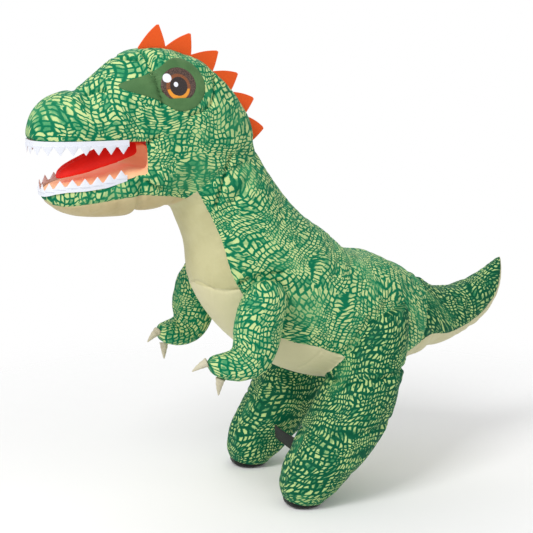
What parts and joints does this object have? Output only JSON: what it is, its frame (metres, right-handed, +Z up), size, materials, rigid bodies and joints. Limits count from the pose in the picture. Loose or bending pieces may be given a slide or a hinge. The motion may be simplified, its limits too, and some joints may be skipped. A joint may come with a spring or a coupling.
{
  "type": "inflatable fabric dinosaur",
  "caption": "Air-blown fabric dinosaur standing on two padded feet, with felt crest and teeth, small clawed arms, a flexing head, jaw and tail, and a blower in its flank.",
  "frame": {"origin": "bottom centre of the bounding box, on the floor between the soles", "axes": "-Y the way the dinosaur faces, +X its left side, +Z up"},
  "size_m": [0.4486, 1.1141, 1.0001],
  "materials": {
    "printed_cloth": "matte",
    "pale_cloth": "matte",
    "claw_cloth": "matte",
    "black_webbing": "matte",
    "orange_felt": "matte",
    "white_felt": "matte",
    "olive_cloth": "matte",
    "brown_print": "satin",
    "red_cloth": "matte",
    "peach_cloth": "matte",
    "black_plastic": "satin",
    "grey_plastic": "satin",
    "motor_steel": "satin",
    "nickel": "satin",
    "cell_jacket": "gloss",
    "red_plastic": "satin"
  },
  "bodies": {
    "torso": {"neck_left_panel": "printed_cloth", "neck_right_panel": "printed_cloth", "throat_panel": "pale_cloth", "body_left_panel": "printed_cloth", "body_right_panel": "printed_cloth", "chest_panel": "pale_cloth", "hip_left_panel": "printed_cloth", "hip_right_panel": "printed_cloth", "belly_panel": "pale_cloth", "left_leg_outer_panel": "printed_cloth", "left_leg_inner_panel": "printed_cloth", "right_leg_outer_panel": "printed_cloth", "right_leg_inner_panel": "printed_cloth", "left_sole": "black_webbing", "right_sole": "black_webbing", "leg_strap": "black_webbing", "fan_housing": "black_plastic", "intake_grille": "black_plastic", "fan_motor": "motor_steel", "clamp_ring": "black_plastic", "battery_case": "black_plastic", "cells": "cell_jacket", "contact_plate": "nickel"},
    "head": {"snout_left_panel": "printed_cloth", "snout_right_panel": "printed_cloth", "skull_left_panel": "printed_cloth", "skull_right_panel": "printed_cloth", "neck_gusset": "printed_cloth", "palate_lining": "red_cloth", "throat_lining": "red_cloth", "crest": "orange_felt", "upper_teeth": "white_felt", "left_eye_patch": "olive_cloth", "right_eye_patch": "olive_cloth", "left_eye_disc": "brown_print", "right_eye_disc": "brown_print"},
    "jaw": {"jaw_left_panel": "printed_cloth", "jaw_right_panel": "printed_cloth", "chin_panel": "pale_cloth", "jaw_lining": "peach_cloth", "tongue": "red_cloth", "lower_teeth": "white_felt"},
    "left_arm": {"left_arm_outer_panel": "printed_cloth", "left_arm_inner_panel": "printed_cloth", "left_claws": "claw_cloth"},
    "right_arm": {"right_arm_outer_panel": "printed_cloth", "right_arm_inner_panel": "printed_cloth", "right_claws": "claw_cloth"},
    "tail": {"tail_left_panel": "printed_cloth", "tail_right_panel": "printed_cloth", "tail_belly_panel": "pale_cloth"},
    "impeller": {"impeller": "grey_plastic"},
    "battery_cap": {"battery_cap": "black_plastic"},
    "power_switch": {"power_switch": "red_plastic"}
  },
  "joints": [
    {"name": "head_nod", "type": "hinge", "parent": "torso", "child": "head", "pos_m": [0, -0.183, 0.7], "axis": [1, 0, 0], "range_deg": [-6, 6], "stiffness_Nm_per_rad": 30},
    {"name": "jaw_flex", "type": "hinge", "parent": "head", "child": "jaw", "pos_m": [0, -0.35, 0.745], "axis": [1, 0, 0], "range_deg": [-4, 4], "stiffness_Nm_per_rad": 5},
    {"name": "left_arm_swing", "type": "hinge", "parent": "torso", "child": "left_arm", "pos_m": [0.16, -0.128, 0.455], "axis": [1, 0, 0], "range_deg": [-15, 8], "stiffness_Nm_per_rad": 2},
    {"name": "right_arm_swing", "type": "hinge", "parent": "torso", "child": "right_arm", "pos_m": [-0.16, -0.128, 0.455], "axis": [1, 0, 0], "range_deg": [-15, 8], "stiffness_Nm_per_rad": 2},
    {"name": "tail_wag", "type": "hinge", "parent": "torso", "child": "tail", "pos_m": [0, 0.29, 0.366], "axis": [0, 0, 1], "range_deg": [-8, 8], "stiffness_Nm_per_rad": 8},
    {"name": "impeller_spin", "type": "hinge", "parent": "torso", "child": "impeller", "pos_m": [-0.176, 0.06, 0.4], "axis": [1, 0, 0], "continuous": true},
    {"name": "battery_cap_turn", "type": "hinge", "parent": "torso", "child": "battery_cap", "pos_m": [-0.03, 0.06, 0.4], "axis": [1, 0, 0], "range_deg": [0, 30]},
    {"name": "power_switch_slide", "type": "slide", "parent": "torso", "child": "power_switch", "axis": [0, 1, 0], "range_m": [0, 0.004]}
  ]
}
